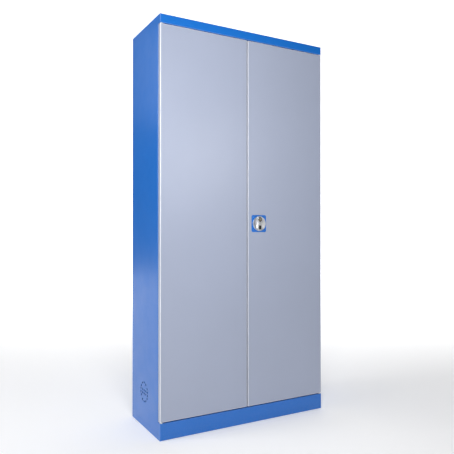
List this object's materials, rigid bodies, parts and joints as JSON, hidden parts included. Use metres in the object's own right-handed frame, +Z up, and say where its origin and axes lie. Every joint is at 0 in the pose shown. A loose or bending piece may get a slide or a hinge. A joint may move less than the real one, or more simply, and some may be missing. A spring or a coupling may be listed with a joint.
{
  "type": "locker cabinet",
  "caption": "Tall two-door steel locker cabinet with blue carcass, light grey pivoted doors, rotary three-point lock, side vents and adjustable shelves.",
  "frame": {"origin": "floor level, in the middle of the cabinet's bounding box", "axes": "+Z up, doors and lock face -Y, +X to the right as seen from the front"},
  "size_m": [0.93, 0.395, 1.95],
  "materials": {
    "blue_paint": "blue powder coat, semi-gloss, fine orange peel",
    "grey_paint": "light silver-grey powder coat, semi-gloss",
    "shelf_paint": "light grey powder coat",
    "galvanised_steel": "zinc plated",
    "bright_steel": "turned and ground",
    "knob_metal": "satin nickel on die-cast zinc",
    "key_brass": "nickel-plated brass, worn",
    "black_plastic": "moulded, fine texture",
    "nylon": "natural nylon",
    "rubber": "black rubber"
  },
  "bodies": {
    "carcass": {"side_panel_left": "blue_paint", "side_panel_right": "blue_paint", "top_panel": "blue_paint", "bottom_panel": "blue_paint", "back_panel": "blue_paint", "back_stiffener": "blue_paint", "lintel": "blue_paint", "plinth": "blue_paint", "base_rail_left": "galvanised_steel", "base_rail_right": "galvanised_steel", "base_rail_rear": "galvanised_steel", "shelf_rail_front_left": "galvanised_steel", "shelf_rail_rear_left": "galvanised_steel", "shelf_rail_front_right": "galvanised_steel", "shelf_rail_rear_right": "galvanised_steel", "shelf_clips": "galvanised_steel", "pivot_pin_top_left": "bright_steel", "pivot_pin_bottom_left": "bright_steel", "pivot_pin_top_right": "bright_steel", "pivot_pin_bottom_right": "bright_steel", "magnet_catches": "black_plastic", "door_buffers": "rubber"},
    "left_door": {"left_door_skin": "grey_paint", "left_door_edges": "grey_paint", "left_door_rim": "grey_paint", "left_door_stiffener": "grey_paint", "left_door_bushes": "nylon", "bolt_keeper": "galvanised_steel"},
    "right_door": {"right_door_skin": "grey_paint", "right_door_edges": "grey_paint", "right_door_rim": "grey_paint", "right_door_stiffener": "grey_paint", "right_door_bushes": "nylon", "rod_guides": "nylon", "escutcheon": "blue_paint", "lock_screws": "blue_paint", "lock_case": "galvanised_steel", "lock_cover": "galvanised_steel", "spindle_bush": "nylon"},
    "lock_knob": {"knob": "knob_metal", "key_ring": "black_plastic", "grip_insert": "black_plastic", "spindle": "bright_steel", "spindle_clip": "bright_steel", "pinion": "bright_steel"},
    "key_cylinder": {"key_plug": "key_brass"},
    "upper_rod": {"upper_rod": "galvanised_steel"},
    "lower_rod": {"lower_rod": "galvanised_steel"},
    "side_bolt": {"side_bolt": "galvanised_steel"},
    "shelf_1": {"shelf_1": "shelf_paint", "shelf_rib_1": "shelf_paint"},
    "shelf_2": {"shelf_2": "shelf_paint", "shelf_rib_2": "shelf_paint"},
    "shelf_3": {"shelf_3": "shelf_paint", "shelf_rib_3": "shelf_paint"},
    "shelf_4": {"shelf_4": "shelf_paint", "shelf_rib_4": "shelf_paint"}
  },
  "joints": [
    {"name": "left_door_hinge", "type": "hinge", "parent": "carcass", "child": "left_door", "pos_m": [-0.4565, -0.1745, 0.9935], "axis": [0, 0, -1], "range_deg": [0, 110]},
    {"name": "right_door_hinge", "type": "hinge", "parent": "carcass", "child": "right_door", "pos_m": [0.4565, -0.1745, 0.9935], "axis": [0, 0, 1], "range_deg": [0, 110]},
    {"name": "knob_turn", "type": "hinge", "parent": "right_door", "child": "lock_knob", "pos_m": [0.066, -0.1825, 0.9925], "axis": [0, 1, 0], "range_deg": [0, 90]},
    {"name": "key_turn", "type": "hinge", "parent": "lock_knob", "child": "key_cylinder", "pos_m": [0.066, -0.1915, 1.013], "axis": [0, 1, 0], "range_deg": [0, 90]},
    {"name": "upper_rod_slide", "type": "slide", "parent": "right_door", "child": "upper_rod", "axis": [0, 0, 1], "range_m": [0, 0.02003]},
    {"name": "lower_rod_slide", "type": "slide", "parent": "right_door", "child": "lower_rod", "axis": [0, 0, -1], "range_m": [0, 0.02003]},
    {"name": "side_bolt_slide", "type": "slide", "parent": "right_door", "child": "side_bolt", "axis": [-1, 0, 0], "range_m": [0, 0.02003]},
    {"name": "shelf_1_lift", "type": "slide", "parent": "carcass", "child": "shelf_1", "axis": [0, 0, 1], "range_m": [0, 0.04]},
    {"name": "shelf_2_lift", "type": "slide", "parent": "carcass", "child": "shelf_2", "axis": [0, 0, 1], "range_m": [0, 0.04]},
    {"name": "shelf_3_lift", "type": "slide", "parent": "carcass", "child": "shelf_3", "axis": [0, 0, 1], "range_m": [0, 0.04]},
    {"name": "shelf_4_lift", "type": "slide", "parent": "carcass", "child": "shelf_4", "axis": [0, 0, 1], "range_m": [0, 0.04]}
  ],
  "couplings": [
    {"joint": "upper_rod_slide", "follows": "knob_turn", "m_per_rad": 0.01275},
    {"joint": "lower_rod_slide", "follows": "knob_turn", "m_per_rad": 0.01275},
    {"joint": "side_bolt_slide", "follows": "knob_turn", "m_per_rad": 0.01275}
  ]
}
